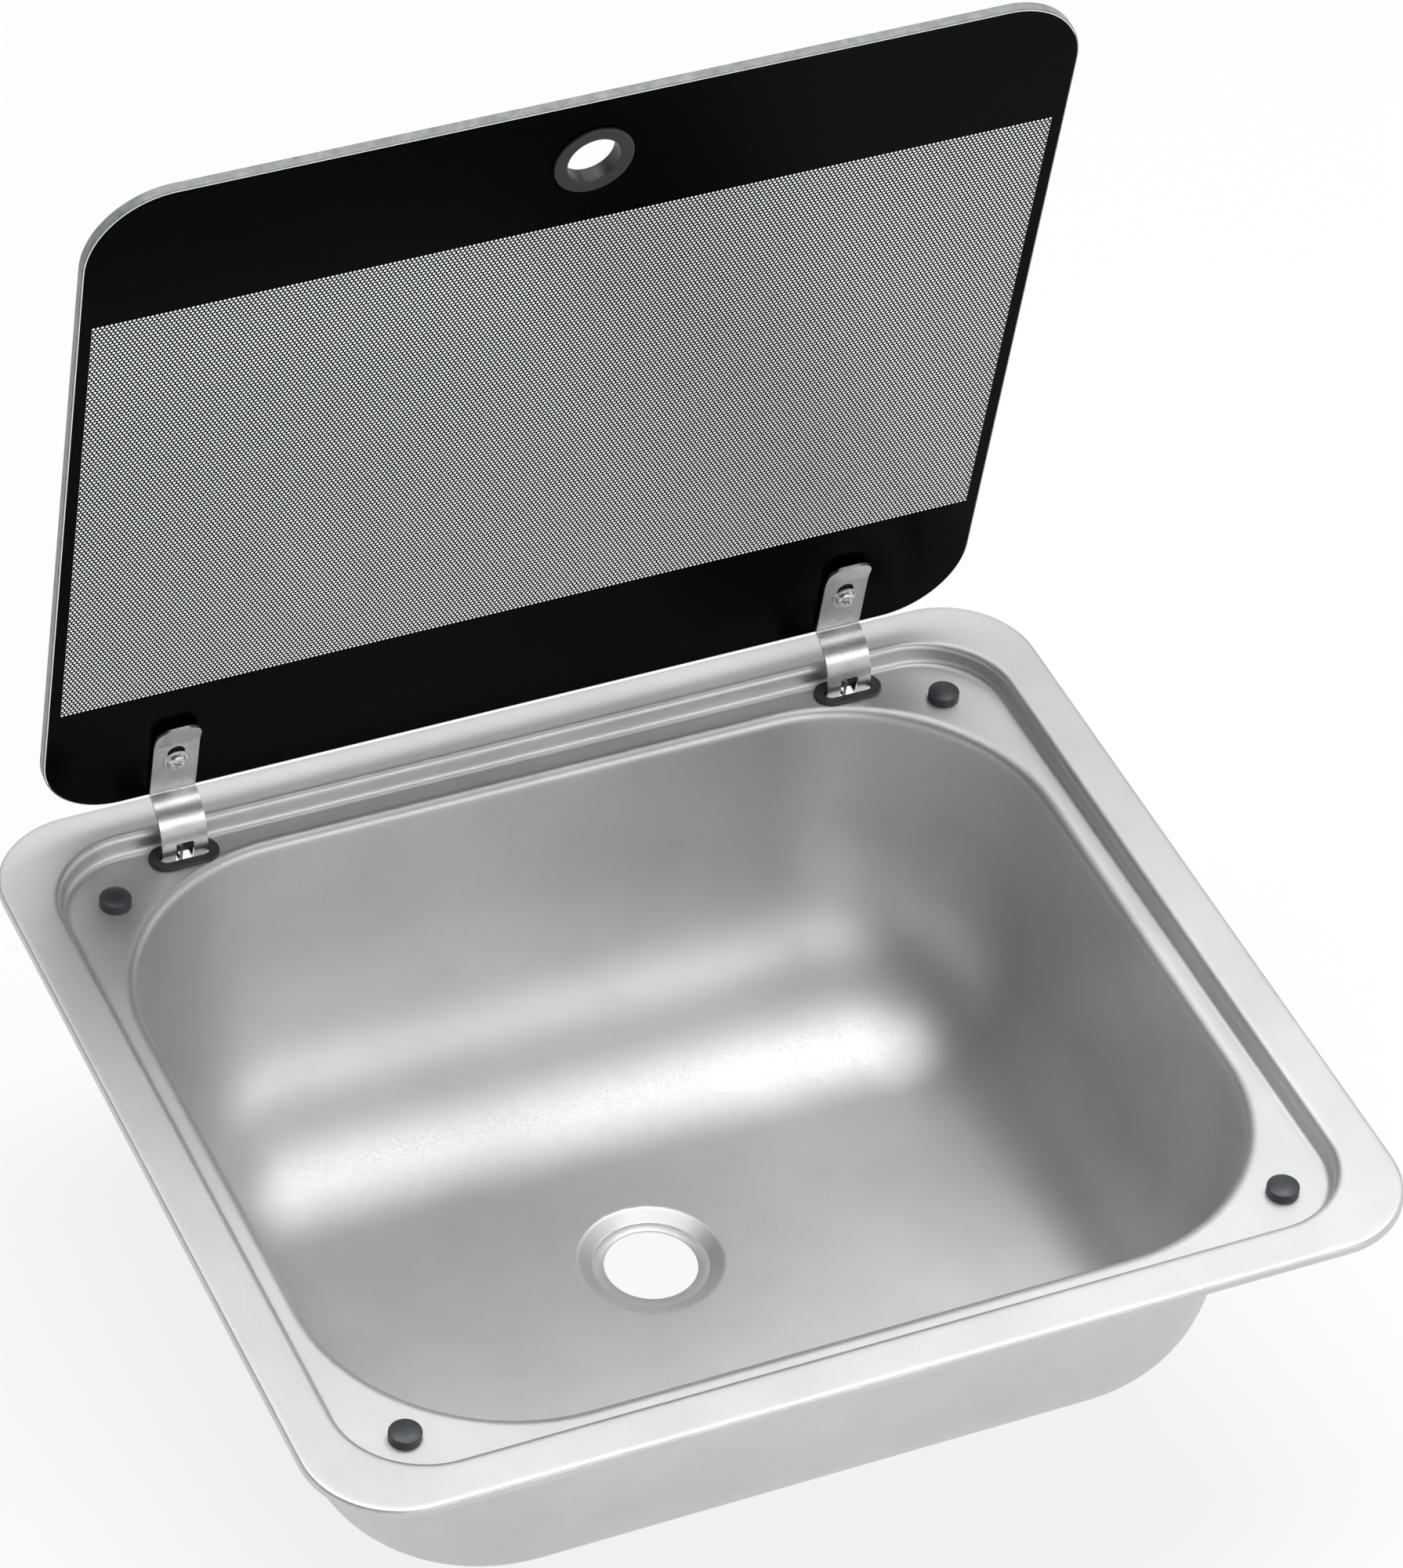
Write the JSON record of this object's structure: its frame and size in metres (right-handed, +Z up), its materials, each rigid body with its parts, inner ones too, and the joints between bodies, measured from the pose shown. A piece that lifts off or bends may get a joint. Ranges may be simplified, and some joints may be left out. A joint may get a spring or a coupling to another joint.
{
  "type": "sink with a glass lid",
  "caption": "Drop-in camper sink: pressed steel bowl with a recessed rim, and a dotted black tempered glass lid on sprung hinges that folds flush into the rim or stands open.",
  "frame": {"origin": "centre of the flange, in the plane of the worktop that the flange's turned-down lip stands on", "axes": "+X to the right seen from the front, +Y to the back where the hinges are, +Z up out of the worktop; at rest the lid stands open, leaning 9.5 degrees towards the front"},
  "size_m": [0.42, 0.37, 0.4732],
  "materials": {
    "stainless_sheet": "satin, fine linen-like pressed sheet, soft reflections",
    "hinge_steel": "satin strip steel with bright cut edges",
    "pin_steel": "turned, semi-bright",
    "spring_steel": "drawn wire, oiled, darker than the strip",
    "tempered_glass": "clear polished float glass, green-grey at the ground edge",
    "black_enamel": "fired black ceramic print, seen glossy through the glass and matt from below",
    "ring_plastic": "moulded, semi-gloss",
    "dark_rubber": "matt moulded rubber",
    "pad_rubber": "matt sheet rubber",
    "nylon": "natural nylon"
  },
  "bodies": {
    "sink": {"sink_bowl": "stainless_sheet", "lid_buffer_front_left": "dark_rubber", "lid_buffer_front_right": "dark_rubber", "lid_buffer_rear_left": "dark_rubber", "lid_buffer_rear_right": "dark_rubber", "slot_grommet_left": "dark_rubber", "hinge_bracket_left": "hinge_steel", "pivot_pin_left": "pin_steel", "pin_clip_left": "spring_steel", "torsion_spring_left": "spring_steel", "slot_grommet_right": "dark_rubber", "hinge_bracket_right": "hinge_steel", "pivot_pin_right": "pin_steel", "pin_clip_right": "spring_steel", "torsion_spring_right": "spring_steel"},
    "lid": {"lid_glass": "tempered_glass", "lid_print": "black_enamel", "finger_ring": "ring_plastic", "finger_ring_cap": "ring_plastic", "hinge_arm_left": "hinge_steel", "arm_pad_left": "pad_rubber", "glass_bush_left": "nylon", "nut_washer_left": "pad_rubber", "cap_nut_left": "pin_steel", "hinge_screw_left": "pin_steel", "hinge_arm_right": "hinge_steel", "arm_pad_right": "pad_rubber", "glass_bush_right": "nylon", "nut_washer_right": "pad_rubber", "cap_nut_right": "pin_steel", "hinge_screw_right": "pin_steel"}
  },
  "joints": [
    {"name": "lid_hinge", "type": "hinge", "parent": "sink", "child": "lid", "pos_m": [0, 0.1756, -0.0018], "axis": [1, 0, 0], "range_deg": [0, 80.5], "stiffness_Nm_per_rad": 0.2, "springref_deg": -74.48, "deforming": ["torsion_spring_left", "torsion_spring_right"]}
  ]
}
